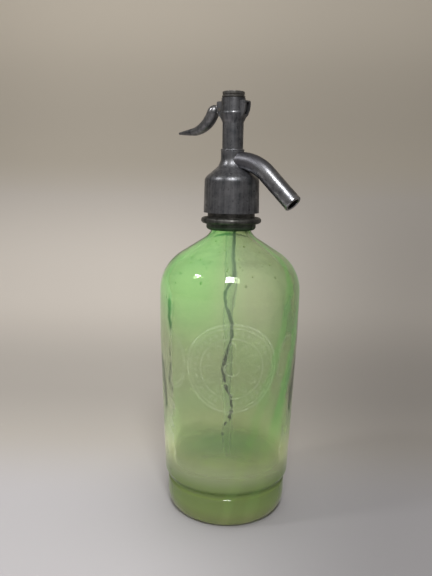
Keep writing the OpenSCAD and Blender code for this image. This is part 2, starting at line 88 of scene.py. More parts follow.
def fill(node, inputs):
    """Sets a node's inputs by name or number. A tuple fills them in order, and a node that is given
    as a value is linked by its first output."""
    pairs = enumerate(inputs) if isinstance(inputs, tuple) else inputs.items()
    for key, value in pairs:
        if isinstance(value, bpy.types.Node):
            value = value.outputs[0]
        if isinstance(value, bpy.types.NodeSocket):
            node.id_data.links.new(value, node.inputs[key])
        else:
            node.inputs[key].default_value = value


def add(tree, kind, inputs=(), **settings):
    """Adds a node with its settings and links."""
    node = tree.nodes.new(kind)
    for name, value in settings.items():
        setattr(node, name, value)
    fill(node, inputs)
    return node


# ---------------------------------------------------------------- sizes and colours


class SiphonSizes(bpy.types.PropertyGroup):
    """Sizes that a user would change."""

    body_r: FloatProperty(
        name="Shoulder radius", description="Outside radius just below the shoulder",
        default=52.19 * MM, unit="LENGTH", precision=4,
    )
    body_low_r: FloatProperty(
        name="Heel radius", description="Outside radius at the low end of the tapered wall",
        default=47.8 * MM, unit="LENGTH", precision=4,
    )
    wall: FloatProperty(
        name="Glass wall", description="Thickness of the blown wall",
        default=5 * MM, unit="LENGTH", precision=4,
    )
    wander: FloatProperty(
        name="Wall wander", description="How far the inner wall strays from a true round",
        default=1.3 * MM, unit="LENGTH", precision=4,
    )
    seeds: IntProperty(
        name="Seeds", description="Number of gas seeds caught in the shoulder's glass",
        default=110, min=0, max=400,
    )
    tube_r: FloatProperty(
        name="Dip tube radius", description="Outside radius of the dip tube",
        default=4 * MM, unit="LENGTH", precision=4,
    )
    spout_r: FloatProperty(
        name="Spout radius", description="Outside radius of the spout",
        default=6.5 * MM, unit="LENGTH", precision=4,
    )
    horn_depth: FloatProperty(
        name="Horn half depth", description="Half of the horn's depth where it is thickest",
        default=4.5 * MM, unit="LENGTH", precision=4,
    )
    horn_width: FloatProperty(
        name="Horn half width", description="Half of the horn's width where it is thickest",
        default=4.6 * MM, unit="LENGTH", precision=4,
    )
    spring_turns: FloatProperty(
        name="Spring turns", description="Turns of the return spring", default=6.0, min=3, max=9,
    )


class SiphonColours(bpy.types.PropertyGroup):
    """Colours that a user would change."""

    glass: FloatVectorProperty(
        name="Glass", description="Tint that light takes at the glass surface",
        default=linear("E9F5D6"), size=4, subtype="COLOR", min=0, max=1,
    )
    glass_streak: FloatVectorProperty(
        name="Glass streaks", description="Tint of the greener cords in the glass",
        default=linear("B9E3A4"), size=4, subtype="COLOR", min=0, max=1,
    )
    # painted light: the glass is made to emit this colour, though it is no lamp
    glow: FloatVectorProperty(
        name="Glass glow", description="Colour of the green glow of the glass",
        default=linear("3ADE5C"), size=4, subtype="COLOR", min=0, max=1,
    )
    pewter: FloatVectorProperty(
        name="Pewter", description="Colour of the bare cast pewter",
        default=linear("838386"), size=4, subtype="COLOR", min=0, max=1,
    )
    tarnish: FloatVectorProperty(
        name="Tarnish", description="Colour of the dark skin on the pewter",
        default=linear("484A4D"), size=4, subtype="COLOR", min=0, max=1,
    )
    plating: FloatVectorProperty(
        name="Plating", description="Colour of the spout's worn nickel plating",
        default=linear("B4B5B8"), size=4, subtype="COLOR", min=0, max=1,
    )


def sizes():
    return bpy.context.scene.siphon_sizes


def colours():
    return bpy.context.scene.siphon_colours


# ---------------------------------------------------------------- materials


def new_material(name):
    """An empty material with its tree, output and Principled shader."""
    material = bpy.data.materials.new(name)
    material.use_nodes = True
    tree = material.node_tree
    tree.nodes.clear()
    shader = add(tree, "ShaderNodeBsdfPrincipled")
    add(tree, "ShaderNodeOutputMaterial", {"Surface": shader})
    return material, tree, shader


def blown_glass():
    """Soda-lime glass, mouth blown: clear with a pale green body, greener cords drawn out by the
    blowing, an acid-etched ornament that scatters light, and painted light: a soft green emission
    at the shoulder and pale emitted light low down and to the right of the tube."""
    material, tree, shader = new_material("blown_green_glass")
    place = add(tree, "ShaderNodeTexCoord").outputs["Object"]
    chart = add(tree, "ShaderNodeUVMap", uv_map="wall_map")
    split = add(tree, SPLIT, (chart,))
    round_mm = add(tree, MATH, (split.outputs[0], 1000.0), operation="MULTIPLY")
    high_mm = add(tree, MATH, (split.outputs[1], 1000.0), operation="MULTIPLY")

    # cords: greener bands that climb to the right round the wall, with ragged edges
    spot = add(tree, JOIN, (round_mm, high_mm))
    ragged = add(tree, NOISE, {"Vector": spot, "Scale": 0.05, "Detail": 4.0, "Roughness": 0.6})
    sway = add(tree, MATH, (ragged, 0.5), operation="SUBTRACT")
    sway = add(tree, MATH, (sway, 14.0), operation="MULTIPLY")
    cords, slope, level = 0.0, 0.29, 178
    for angle, half, low, high in ((56, 6.0, 100, 150), (79, 7.5, 60, 95), (-74, 12.0, 160, 230)):
        middle = add(
            tree, MATH, (high_mm, slope, front_mm(angle) - level * slope), operation="MULTIPLY_ADD"
        )
        off = add(tree, MATH, (round_mm, sway), operation="ADD")
        off = add(tree, MATH, (off, middle), operation="SUBTRACT")
        band = add(tree, MATH, (off,), operation="ABSOLUTE")
        band = add(tree, RANGE, (band, half, 0.3 * half), **SOFT)
        # each cord is full at its top and fades downwards
        length = add(tree, RANGE, (high_mm, low, high, 0.35, 1.0))
        band = add(tree, MATH, (band, length), operation="MULTIPLY")
        cords = add(tree, MATH, (cords, band), operation="MAXIMUM")
    cords = add(tree, MATH, (cords, outer_side(tree)), operation="MULTIPLY")
    tint = add(
        tree, MIX, {0: cords, 6: tuple(colours().glass), 7: tuple(colours().glass_streak)},
        data_type="RGBA",
    ).outputs[2]

    # the etched ornament is grainy, scatters light and dulls the skin
    etched = ornament(tree, round_mm, high_mm)
    grain = add(tree, NOISE, {"Vector": place, "Scale": 900.0, "Detail": 2.0})
    frost = add(tree, RANGE, (grain, 0.3, 0.7, 0.24, 0.55))
    frost = add(tree, MATH, (etched, frost), operation="MULTIPLY")
    rough = add(tree, MATH, (frost, 0.25, 0.03), operation="MULTIPLY_ADD")
    # the solid foot is cloudy and olive, the wall above it only a little milky
    thick = add(tree, RANGE, (high_mm, 54.0, 28.0), **SOFT)
    tint = add(tree, MIX, {0: thick, 6: tint, 7: linear("8A9C5C")}, data_type="RGBA").outputs[2]
    clear = add(tree, MATH, (thick, -0.5, 0.93), operation="MULTIPLY_ADD")
    clear = add(tree, MATH, (frost, -0.5, clear), operation="MULTIPLY_ADD")

    # slow waves of the blown skin, about 25 mm long and different inside and out, and a fine ripple
    skin = add(tree, "ShaderNodeAttribute", attribute_name="outer").outputs["Fac"]
    shift = add(tree, MATH, (skin, 7.0), operation="MULTIPLY")
    waves = add(
        tree, NOISE, {"Vector": place, "W": shift, "Scale": 40.0, "Detail": 2.5},
        noise_dimensions="4D",
    )
    bump = add(tree, "ShaderNodeBump", {"Strength": 0.6, "Distance": 0.0016, "Height": waves})
    bump = add(
        tree, "ShaderNodeBump",
        {"Strength": 0.5, "Distance": 0.00012, "Height": frost, "Normal": bump},
    )

    # painted light: an emission patch at the upper left, and a little more along the cords
    glow = painted_glow_patch(tree, round_mm, high_mm)
    glow = add(tree, MATH, (cords, 0.075, glow), operation="MULTIPLY_ADD")
    # painted light: low down the glass emits a pale colour, standing in for light from the pale
    # floor through the foot
    lit = add(tree, RANGE, (high_mm, 88.0, 48.0), **SOFT)
    # painted shade: the groove above the foot gets only a fifth of that painted floor light
    groove_z = 23.0
    groove_off = add(tree, MATH, (high_mm, groove_z), operation="SUBTRACT")
    groove_off = add(tree, MATH, (groove_off,), operation="ABSOLUTE")
    off_groove = add(tree, RANGE, (groove_off, 1.0, 16.0, 0.2, 1.0))
    lit = add(tree, MATH, (lit, off_groove), operation="MULTIPLY")
    glow = add(tree, MATH, (lit, 0.05, glow), operation="MULTIPLY_ADD")
    painted_glow_colour = add(
        tree, MIX, {0: lit, 6: tuple(colours().glow), 7: linear("D2CA94")}, data_type="RGBA"
    ).outputs[2]
    # painted reflection: a pale emitted patch to the right of the tube stands in for the room's
    # wall mirrored in the skin
    reflection_z, squeeze = 170.0, 0.6
    across = add(tree, MATH, (round_mm, front_mm(22)), operation="SUBTRACT")
    along = add(tree, MATH, (high_mm, squeeze, -reflection_z * squeeze), operation="MULTIPLY_ADD")
    far = distance(tree, across, along)
    painted_wall_reflection = add(tree, RANGE, (far, 36.0, 3.0), **SOFT)
    glow = add(tree, MATH, (painted_wall_reflection, 0.09, glow), operation="MULTIPLY_ADD")
    painted_glow_colour = add(
        tree, MIX, {0: painted_wall_reflection, 6: painted_glow_colour, 7: linear("E6E0D2")}, data_type="RGBA"
    ).outputs[2]
    # painted light: the outside emits in full, the inside only where the floor light is painted
    outside = outer_side(tree)
    glow = add(tree, MATH, (glow, outside), operation="MULTIPLY")
    inner_lit = add(tree, MATH, (1.0, outside), operation="SUBTRACT")
    inner_lit = add(tree, MATH, (lit, inner_lit), operation="MULTIPLY")
    glow = add(tree, MATH, (inner_lit, 0.1, glow), operation="MULTIPLY_ADD")
    fill(shader, {
        "Base Color": tint, "Roughness": rough, "Transmission Weight": clear, "IOR": 1.5,
        "Normal": bump, "Emission Color": painted_glow_colour, "Emission Strength": glow,
    })
    # the metal in the glass takes red and blue from long ways through it, as in the solid foot
    body = add(
        tree, "ShaderNodeVolumeAbsorption", {"Color": (0.45, 0.75, 0.03, 1), "Density": 13.0}
    )
    fill(tree.nodes["Material Output"], {"Volume": body})
    return material


def front_mm(angle):
    """Distance round the wall chart of a direction, in degrees from the viewer's side."""
    return math.radians(angle) * CHART_R


def outer_side(tree):
    """One on the outside of the wall, nothing on its inside."""
    skin = add(tree, "ShaderNodeAttribute", attribute_name="outer").outputs["Fac"]
    return add(tree, RANGE, (skin, 0.4, 0.6))


def distance(tree, across, along):
    """Distance from a mark's middle on the wall chart, out of its two parts."""
    square = add(tree, MATH, (across, across), operation="MULTIPLY")
    square = add(tree, MATH, (along, along, square), operation="MULTIPLY_ADD")
    return add(tree, MATH, (square,), operation="SQRT")


def painted_glow_patch(tree, round_mm, high_mm):
    """Strength of the soft patch of painted glow at the upper left: emitted light that stands in
    for lighting.
    """
    patch_z, squeeze = 191.0, 0.8
    across = add(tree, MATH, (round_mm, front_mm(-34)), operation="SUBTRACT")
    along = add(tree, MATH, (high_mm, squeeze, -patch_z * squeeze), operation="MULTIPLY_ADD")
    far = distance(tree, across, along)
    return add(tree, RANGE, (far, 54.0, 4.0, 0.0, 0.25), **SOFT)


def ornament(tree, round_mm, high_mm):
    """Etched ornament: a twelve-petal rosette in a beaded double ring, with a leaf oval at each
    side. Its sizes are in millimetres."""
    def ring(apart, radius, half):
        """A line of the given half width where apart is the radius."""
        off = add(tree, MATH, (apart, radius), operation="SUBTRACT")
        off = add(tree, MATH, (off,), operation="ABSOLUTE")
        return add(tree, MATH, (off, -1 / half, 1.0), operation="MULTIPLY_ADD", use_clamp=True)

    x = add(tree, MATH, (round_mm, front_mm(3)), operation="SUBTRACT")
    y = add(tree, MATH, (high_mm, 124.0), operation="SUBTRACT")
    far = distance(tree, x, y)
    turn = add(tree, MATH, (y, x), operation="ARCTAN2")
    shapes = [ring(far, 31.5, 1.2), ring(far, 29.0, 0.8), ring(far, 21.6, 0.9)]
    # beads between the rings, every 10 degrees
    bead = add(tree, MATH, (turn, 18.0), operation="MULTIPLY")
    bead = add(tree, MATH, (bead,), operation="SINE")
    bead = add(tree, MATH, (bead,), operation="ABSOLUTE")
    bead = add(tree, MATH, (bead, 3.0), operation="POWER")
    bead = add(tree, MATH, (bead, ring(far, 25.4, 2.2)), operation="MULTIPLY")
    shapes.append(bead)
    # petals: their edge swings between 7.5 and 19 mm
    swing = add(tree, MATH, (turn, 6.0), operation="MULTIPLY")
    swing = add(tree, MATH, (swing,), operation="COSINE")
    swing = add(tree, MATH, (swing,), operation="ABSOLUTE")
    swing = add(tree, MATH, (swing, 11.5, 7.5), operation="MULTIPLY_ADD")
    shapes.append(ring(add(tree, MATH, (far, swing), operation="SUBTRACT"), 0.0, 1.2))
    shapes.append(ring(far, 5.0, 0.7))
    for side in (-1, 1):
        u = add(tree, MATH, (x, side * 45.0), operation="SUBTRACT")
        u = add(tree, MATH, (u, 1.8), operation="MULTIPLY")
        oval = distance(tree, u, y)
        shapes += [ring(oval, 19.5, 1.2), ring(oval, 16.8, 0.8)]
        # leaf: ribs that run out and up from a middle stem
        ribs = add(tree, MATH, (u,), operation="ABSOLUTE")
        ribs = add(tree, MATH, (ribs, 0.7), operation="MULTIPLY")
        ribs = add(tree, MATH, (y, ribs), operation="SUBTRACT")
        ribs = add(tree, MATH, (ribs, 1.5), operation="MULTIPLY")
        ribs = add(tree, MATH, (ribs,), operation="SINE")
        ribs = add(tree, MATH, (ribs, 0.35), operation="SUBTRACT", use_clamp=True)
        inside = add(tree, RANGE, (oval, 14.0, 12.5))
        shapes.append(add(tree, MATH, (ribs, inside), operation="MULTIPLY"))
    total = shapes[0]
    for shape in shapes[1:]:
        total = add(tree, MATH, (total, shape), operation="MAXIMUM")
    # the etching is rubbed thin in places
    worn = add(tree, NOISE, {"Vector": add(tree, JOIN, (x, y)), "Scale": 0.09, "Detail": 4.0})
    worn = add(tree, RANGE, (worn, 0.3, 0.55, 0.45, 1.0))
    etched = add(tree, MATH, (total, worn), operation="MULTIPLY")
    return add(tree, MATH, (etched, outer_side(tree)), operation="MULTIPLY")


def drawn_glass():
    """Drawn glass tube: smooth and clear, with a painted reflection: a wavering dark teal line down
    one side that breaks up lower down."""
    material, tree, shader = new_material("drawn_glass_tube")
    chart = add(tree, "ShaderNodeUVMap", uv_map="wall_map")
    split = add(tree, SPLIT, (chart,)).outputs
    turn = add(tree, MATH, (split[0], 1 / (CHART_R * MM)), operation="MULTIPLY")
    high = split[1]
    row = add(tree, JOIN, {1: high})
    jitter = add(tree, NOISE, {"Vector": row, "Scale": 90.0, "Detail": 3.0})
    free = add(tree, RANGE, (high, 0.188, 0.165))
    # it swings to and fro about every 57 mm
    swing = add(tree, MATH, (high, 0.139), operation="SUBTRACT")
    swing = add(tree, MATH, (swing, 110.0), operation="MULTIPLY")
    swing = add(tree, MATH, (swing,), operation="COSINE")
    jitter = add(tree, MATH, (jitter, 0.5), operation="SUBTRACT")
    swing = add(tree, MATH, (jitter, 1.2, swing), operation="MULTIPLY_ADD")
    middle = add(tree, MIX, {0: free, 2: math.radians(50), 3: swing}, data_type="FLOAT")
    off = add(tree, MATH, (turn, middle), operation="SUBTRACT")
    spot = add(tree, JOIN, (add(tree, MATH, (turn, 0.004), operation="MULTIPLY"), high))
    patch = add(tree, NOISE, {"Vector": spot, "Scale": 240.0, "Detail": 3.0, "Roughness": 0.6})
    # the line is whole at the top and only in crumbs below
    gate = add(tree, RANGE, (high, 0.15, 0.05, 0.22, 0.56))
    crumbs = add(tree, RANGE, (patch, gate, add(tree, MATH, (gate, 0.03), operation="ADD")))
    # painted reflection: a near-black line stands in for a dark reflection in the tube's wall
    line = add(tree, MATH, (off,), operation="ABSOLUTE")
    line = add(tree, RANGE, (line, 0.4, 0.3))
    dark_reflection_line = add(tree, MATH, (line, crumbs), operation="MULTIPLY")
    colour = add(
        tree, MIX, {0: dark_reflection_line, 6: linear("F6FAF8"), 7: linear("03110F")}, data_type="RGBA"
    ).outputs[2]
    # the painted dark line is dull and lets no light through
    clear = add(tree, MATH, (dark_reflection_line, -0.95, 1.0), operation="MULTIPLY_ADD")
    rough = add(tree, MATH, (dark_reflection_line, 0.5, 0.02), operation="MULTIPLY_ADD")
    fill(shader, {
        "Base Color": colour, "IOR": 1.5, "Transmission Weight": clear, "Roughness": rough,
    })
    body = add(
        tree, "ShaderNodeVolumeAbsorption", {"Color": (0.1, 0.6, 0.55, 1), "Density": 14.0}
    )
    fill(tree.nodes["Material Output"], {"Volume": body})
    return material


def cast_metal(name, bright, dark, rough, pits, streaks, stain_and_shade=None, band_full_at=0.0,
               band_none_at=0.0, metal=0.9):
    """Cast and turned soft metal with a dark skin: blotches of tarnish a few mm across, pits from
    the sand about 0.6 mm wide, and faint upright streaks from wiping. A colour band may be laid
    over the metal from the height where it is full to the one where it ends: real corrosion on the
    collar, painted shade on the spout's root."""
    material, tree, shader = new_material(name)
    place = add(tree, "ShaderNodeTexCoord").outputs["Object"]
    blotch = add(tree, NOISE, {"Vector": place, "Scale": 150.0, "Detail": 6.0, "Roughness": 0.62})
    upright = add(tree, "ShaderNodeMapping", {0: place, 3: (520.0, 520.0, 22.0)})
    wiping = add(tree, NOISE, {"Vector": upright, "Scale": 1.0, "Detail": 3.0})
    pit = add(
        tree, "ShaderNodeTexVoronoi", {"Vector": place, "Scale": 900.0, "Randomness": 1.0},
        feature="SMOOTH_F1",
    )
    cloud = add(tree, NOISE, {"Vector": place, "Scale": 420.0, "Detail": 5.0, "Roughness": 0.7})
    mix = add(tree, MATH, (blotch, 1 - streaks), operation="MULTIPLY")
    mix = add(tree, MATH, (wiping, streaks, mix), operation="MULTIPLY_ADD")
    mix = add(tree, RANGE, (mix, 0.36, 0.62))
    colour = add(tree, MIX, {0: mix, 6: dark, 7: bright}, data_type="RGBA").outputs[2]
    specks = add(tree, RANGE, (cloud, 0.56, 0.72, 0.0, pits))
    colour = add(
        tree, MIX, {0: specks, 6: colour, 7: (*(0.35 * c for c in dark[:3]), 1)},
        data_type="RGBA",
    ).outputs[2]
    # the band is real corrosion on the collar, and painted shade on the spout's root
    if stain_and_shade:
        height = add(tree, SPLIT, (place,)).outputs[2]
        band = add(tree, RANGE, (height, band_none_at, band_full_at, 0.0, 1.0), **SOFT)
        patchy = add(tree, MATH, (blotch, 1.2, 0.1), operation="MULTIPLY_ADD")
        band = add(tree, MATH, (band, patchy), operation="MULTIPLY", use_clamp=True)
        colour = add(tree, MIX, {0: band, 6: colour, 7: stain_and_shade}, data_type="RGBA").outputs[2]
    # bright spots are the smoother ones, specks and the stain-and-shade band the duller
    roughness = add(tree, MATH, (mix, -0.14, rough + 0.1), operation="MULTIPLY_ADD")
    roughness = add(tree, MATH, (specks, 0.2, roughness), operation="MULTIPLY_ADD", use_clamp=True)
    if stain_and_shade:
        roughness = add(
            tree, MATH, (band, 0.22, roughness), operation="MULTIPLY_ADD", use_clamp=True
        )
    bump = add(
        tree, "ShaderNodeBump", {"Strength": 0.35 * pits + 0.05, "Distance": 0.00012, "Height": pit}
    )
    bump = add(
        tree, "ShaderNodeBump",
        {"Strength": 0.25 * pits + 0.08, "Distance": 0.00025, "Height": cloud, "Normal": bump},
    )
    fill(shader, {
        "Base Color": colour, "Metallic": metal, "Roughness": roughness, "Normal": bump,
    })
    return material


def soft_seal(name, dark, light, rough):
    """Rubber or leather seal: matt, with a fine grain about half a millimetre wide."""
    material, tree, shader = new_material(name)
    place = add(tree, "ShaderNodeTexCoord").outputs["Object"]
    grain = add(tree, NOISE, {"Vector": place, "Scale": 1600.0, "Detail": 4.0})
    colour = add(tree, MIX, {0: grain, 6: dark, 7: light}, data_type="RGBA").outputs[2]
    bump = add(tree, "ShaderNodeBump", {"Strength": 0.3, "Distance": 0.0002, "Height": grain})
    fill(shader, {"Base Color": colour, "Roughness": rough, "Normal": bump})
    return material


MATERIALS = {}


def material(name):
    """Makes each material once and keeps it by its short name."""
    if name in MATERIALS:
        return MATERIALS[name]
    c = colours()
    makers = {
        "glass": blown_glass,
        "tube": drawn_glass,
        # pitted sand casting under a dark skin: dull, blotchy, with specks
        "pewter": lambda: cast_metal(
            "sand_cast_pewter", tuple(c.pewter), tuple(c.tarnish), 0.38, 1.0, 0.42),
        # horn of the lever: rubbed smooth by hands
        "lever": lambda: cast_metal(
            "hand_worn_pewter", linear("8A898A"), tuple(c.tarnish), 0.36, 0.4, 0.25),
        # collar: the same casting, with green corrosion at its wet lower tier; both its colours are
        # darker than the head's pewter: painted shade under the skirt
        "ring": lambda: cast_metal(
            "corroded_and_shaded_pewter_collar", linear("6A6966"), linear("343531"), 0.48, 0.7, 0.2,
            linear("4C6B4A"), 0.2135, 0.2215),
        # screw cap: turned, with brown tarnish
        "cap": lambda: cast_metal(
            "turned_pewter_cap", linear("8C8B89"), linear("4E4B46"), 0.33, 0.5, 0.1),
        # nickel plate on brass: bright, worn to dull grey patches; from 252.5 mm up to its root it
        # is painted darker as painted shade, and made rougher
        "spout": lambda: cast_metal(
            "worn_nickel_plate", tuple(c.plating), linear("66666A"), 0.27, 0.7, 0.1,
            linear("55545A"), 0.2645, 0.2525, metal=1.0),
        "brass": lambda: cast_metal(
            "turned_valve_brass", linear("B69A5C"), linear("7B6436"), 0.28, 0.3, 0.1, metal=1.0),
        "steel": lambda: cast_metal(
            "drawn_spring_steel", linear("A9A59D"), linear("6F6A61"), 0.3, 0.3, 0.1, metal=1.0),
        "rubber": lambda: soft_seal(
            "moulded_black_rubber", linear("1E1C1B"), linear("36322F"), 0.7),
        "leather": lambda: soft_seal(
            "pressed_packing_leather", linear("4E3322"), linear("7A5436"), 0.62),
    }
    MATERIALS[name] = makers[name]()
    return MATERIALS[name]


def dress(node, name):
    """Gives a CAD node one of the finishes."""
    slots = NODES[node].data.materials
    slots.clear()
    slots.append(material(name))
    for face in NODES[node].data.polygons:
        face.material_index = 0


# ---------------------------------------------------------------- turned and bent forms


def arc(cx, cz, r, a0, a1, n=12):
    """Points of an arc about (cx, cz), angles in degrees."""
    out = []
    for i in range(n + 1):
        a = math.radians(a0 + (a1 - a0) * i / n)
        out.append((cx + r * math.cos(a), cz + r * math.sin(a)))
    return out


def along_line(a, b, n):
    """Points between a and b, without a and with b."""
    return [(a[0] + (b[0] - a[0]) * i / n, a[1] + (b[1] - a[1]) * i / n) for i in range(1, n + 1)]


def new_form(name, inputs):
    """A geometry tree with one geometry output and named inputs, each with its kind and value."""
    tree = bpy.data.node_groups.new(name, "GeometryNodeTree")
    tree.interface.new_socket(name="Geometry", in_out="OUTPUT", socket_type="NodeSocketGeometry")
    for label, (kind, value) in inputs.items():
        item = tree.interface.new_socket(
            name=label, in_out="INPUT", socket_type="NodeSocket" + kind
        )
        if value is not None:
            item.default_value = value
    return tree, add(tree, "NodeGroupInput").outputs


def end_form(tree, geometry, finish):
    """Makes the tree's form real and gives it its finish."""
    real = add(tree, "GeometryNodeRealizeInstances", (geometry,))
    painted = add(tree, "GeometryNodeSetMaterial", {"Geometry": real, "Material": finish})
    add(tree, "NodeGroupOutput", (painted,))
    return tree


def turning_tree():
    """Geometry nodes that turn a profile round Z. The profile is a row of points: X is the radius,
    Y says how much the wall may wander there, Z is the height. With a path, the turned form is
    bent along it."""
    tree, given = new_form("turned_form", {
        "Profile": ("Object", None), "Path": ("Object", None), "Bend": ("Bool", False),
        "Sides": ("Int", 96), "Width": ("Float", 1.0), "Wander": ("Float", 0.0),
        "Wave count": ("Float", 1.9), "Seed": ("Float", 0.0), "Chart radius": ("Float", 0.05),
        "First angle": ("Float", 0.0), "Material": ("Material", None),
    })
    profile = add(tree, "GeometryNodeObjectInfo", (given["Profile"],)).outputs["Geometry"]
    count = add(tree, "GeometryNodeAttributeDomainSize", (profile,), component="MESH")
    last = add(tree, MATH, (count, 1.0), operation="SUBTRACT")
    rows = add(tree, MATH, (given["Sides"], 1.0), operation="ADD")
    grid = add(
        tree, "GeometryNodeMeshGrid",
        {"Size X": last, "Size Y": 1.0, "Vertices X": count, "Vertices Y": rows},
    )
    here = add(tree, SPLIT, (add(tree, "GeometryNodeInputPosition"),))
    index = add(tree, MATH, (last, 0.5, here.outputs[0]), operation="MULTIPLY_ADD")
    index = add(tree, "FunctionNodeFloatToInt", (index,), rounding_mode="ROUND")
    sample = add(
        tree, "GeometryNodeSampleIndex",
        {"Geometry": profile, "Index": index}, data_type="FLOAT_VECTOR", domain="POINT",
    )
    fill(sample, {"Value": add(tree, "GeometryNodeInputPosition")})
    point = add(tree, SPLIT, (sample,)).outputs
    share = add(tree, MATH, (here.outputs[1], 0.5), operation="ADD")
    turn = add(tree, MATH, (share, 2 * math.pi, given["First angle"]), operation="MULTIPLY_ADD")
    cos = add(tree, MATH, (turn,), operation="COSINE")
    sin = add(tree, MATH, (turn,), operation="SINE")
    # the wall wanders in slow waves that close on themselves round the turn
    spot = add(tree, JOIN, tuple(
        add(tree, MATH, pair, operation="MULTIPLY")
        for pair in ((cos, given["Wave count"]), (sin, given["Wave count"]), (point[2], 22.0))
    ))
    noise = add(
        tree, NOISE, {"Vector": spot, "W": given["Seed"], "Scale": 1.0, "Detail": 1.3},
        noise_dimensions="4D",
    )
    stray = add(tree, MATH, (noise, 0.5), operation="SUBTRACT")
    stray = add(tree, MATH, (stray, given["Wander"]), operation="MULTIPLY")
    stray = add(tree, MATH, (stray, 2.0), operation="MULTIPLY")
    radius = add(tree, MATH, (point[1], 0.0), operation="MAXIMUM")
    radius = add(tree, MATH, (stray, radius, point[0]), operation="MULTIPLY_ADD")
    x = add(tree, MATH, (radius, cos), operation="MULTIPLY")
    y = add(tree, MATH, (radius, sin), operation="MULTIPLY")
    y = add(tree, MATH, (y, given["Width"]), operation="MULTIPLY")
    straight = add(tree, JOIN, (x, y, point[2]))
    path = add(tree, "GeometryNodeObjectInfo", (given["Path"],)).outputs["Geometry"]
    on_path = add(
        tree, "GeometryNodeSampleCurve", {"Curves": path, "Length": point[2]}, mode="LENGTH",
    )
    side = on_path.outputs["Normal"]
    up = add(
        tree, "ShaderNodeVectorMath", (on_path.outputs["Tangent"], side), operation="CROSS_PRODUCT"
    )
    by_side = add(tree, "ShaderNodeVectorMath", {0: side, "Scale": y}, operation="SCALE")
    by_up = add(tree, "ShaderNodeVectorMath", {0: up, "Scale": x}, operation="SCALE")
    bent = add(tree, "ShaderNodeVectorMath", (by_side, by_up), operation="ADD")
    bent = add(tree, "ShaderNodeVectorMath", (bent, on_path.outputs["Position"]), operation="ADD")
    final = add(
        tree, "GeometryNodeSwitch", {"Switch": given["Bend"], "False": straight, "True": bent},
        input_type="VECTOR",
    )
    # the chart is kept on face corners before the points move, so its seam stays clean
    from_front = add(tree, MATH, (turn, math.radians(FRONT + 270)), operation="SUBTRACT")
    round_wall = add(tree, MATH, (from_front, given["Chart radius"]), operation="MULTIPLY")
    chart = add(tree, JOIN, (round_wall, point[2]))
    kept = add(
        tree, "GeometryNodeStoreNamedAttribute",
        {"Geometry": grid, "Name": "wall_map", "Value": chart}, data_type="FLOAT2",
        domain="CORNER",
    )
    outer = add(tree, MATH, (point[1], -0.5), operation="LESS_THAN")
    kept = add(
        tree, "GeometryNodeStoreNamedAttribute",
        {"Geometry": kept, "Name": "outer", "Value": outer}, data_type="FLOAT", domain="POINT",
    )
    moved = add(tree, "GeometryNodeSetPosition", {"Geometry": kept, "Position": final})
    joined = add(tree, "GeometryNodeMergeByDistance", {"Geometry": moved, "Distance": 2e-06})
    return end_form(tree, joined, given["Material"])


def made_by(tree, name, values):
    """Runs a geometry tree once and keeps its result as a plain mesh object."""
    scene = bpy.context.scene
    holder = bpy.data.objects.new(name + "_maker", bpy.data.meshes.new(name + "_maker"))
    scene.collection.objects.link(holder)
    modifier = holder.modifiers.new(name, "NODES")
    modifier.node_group = tree
    for item in tree.interface.items_tree:
        if item.in_out == "INPUT" and item.name in values:
            modifier[item.identifier] = values[item.name]
    graph = bpy.context.evaluated_depsgraph_get()
    mesh = bpy.data.meshes.new_from_object(holder.evaluated_get(graph), depsgraph=graph)
    bpy.data.objects.remove(holder)
    mesh.name = name
    if not mesh.polygons:
        raise RuntimeError(f"{name}: the tree made no faces")
    piece = bpy.data.objects.new(name, mesh)
    scene.collection.objects.link(piece)
    return piece


def points_object(name, points):
    """A row of loose points that a tree reads as a profile."""
    mesh = bpy.data.meshes.new(name)
    mesh.from_pydata([tuple(p) for p in points], [], [])
    holder = bpy.data.objects.new(name, mesh)
    bpy.context.scene.collection.objects.link(holder)
    return holder


def path_object(name, points):
    """A path of straight steps, short enough to read as a curve."""
    curve = bpy.data.curves.new(name, "CURVE")
    curve.dimensions = "3D"
    curve.twist_mode = "Z_UP"
    line = curve.splines.new("POLY")
    line.points.add(len(points) - 1)
    for i, p in enumerate(points):
        line.points[i].co = (*p, 1)
    holder = bpy.data.objects.new(name, curve)
    bpy.context.scene.collection.objects.link(holder)
    return holder


def turned(name, outline, finish, path=None, first_angle=FRONT + 90, **values):
    """One turned piece. outline holds (radius, height) or (radius, height, wander) in metres."""
    profile = points_object(
        name + "_profile", [(p[0], p[2] if len(p) > 2 else 0.0, p[1]) for p in outline]
    )
    given = {
        "Profile": profile, "Material": finish, "First angle": math.radians(first_angle), **values
    }
    if path:
        given["Path"] = path_object(name + "_path", path)
        given["Bend"] = True
    tree = bpy.data.node_groups.get("turned_form") or turning_tree()
    piece = made_by(tree, name, given)
    bpy.data.objects.remove(profile)
    if path:
        bpy.data.objects.remove(given["Path"])
    face_out(piece)
    return piece


def face_out(piece):
    """Turns the faces outwards if the form came out inside out, and shades it smooth."""
    shape = bmesh.new()
    shape.from_mesh(piece.data)
    if shape.calc_volume(signed=True) < 0:
        bmesh.ops.reverse_faces(shape, faces=shape.faces)
    shape.to_mesh(piece.data)
    shape.free()
    piece.data.shade_smooth()


def finish_piece(piece, body, slot, *nodes):
    """Rides the piece on its body and hides the CAD nodes that it stands for. The slot is not used.
    """
    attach(piece, body)
    if nodes:
        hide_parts(*nodes)
    return piece


# ---------------------------------------------------------------- the bottle


# the bottle's neck radius, the radius of the sweep below it, the shoulder's radius and height, in
# millimetres, and the angle at which shoulder and sweep meet
NECK_R, SWEEP_R, SHOULDER_R, SHOULDER_Z, MEETING = 13.2, 14, 33, 170, 57.5


